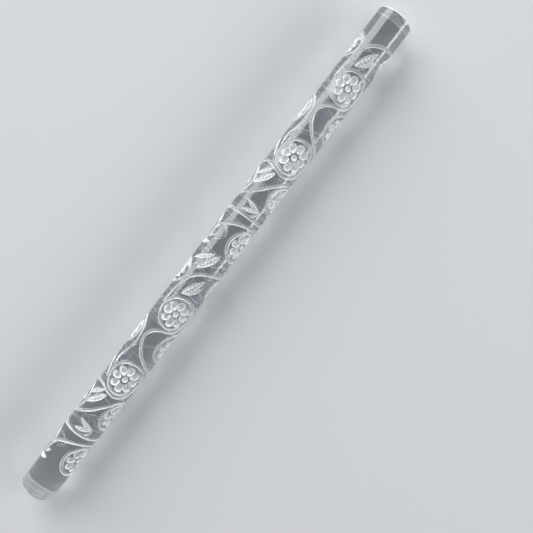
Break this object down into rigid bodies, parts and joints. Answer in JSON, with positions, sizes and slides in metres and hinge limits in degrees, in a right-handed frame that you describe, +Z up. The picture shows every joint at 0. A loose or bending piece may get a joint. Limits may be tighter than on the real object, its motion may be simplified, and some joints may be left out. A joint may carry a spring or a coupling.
{
  "type": "embossed rolling pin",
  "caption": "Solid clear acrylic rod with bevelled ends, engraved all round with daisies in a spiral vine, for embossing fondant and dough.",
  "frame": {"origin": "under the middle of the pin's length, on the surface that it rests on", "axes": "+X along the pin, +Z up"},
  "size_m": [0.33, 0.0208, 0.0208],
  "materials": {
    "clear_acrylic": "clear polished acrylic, see-through, with matt cut grooves"
  },
  "bodies": {
    "root": {"engraved_rod": "clear_acrylic"}
  },
  "joints": []
}
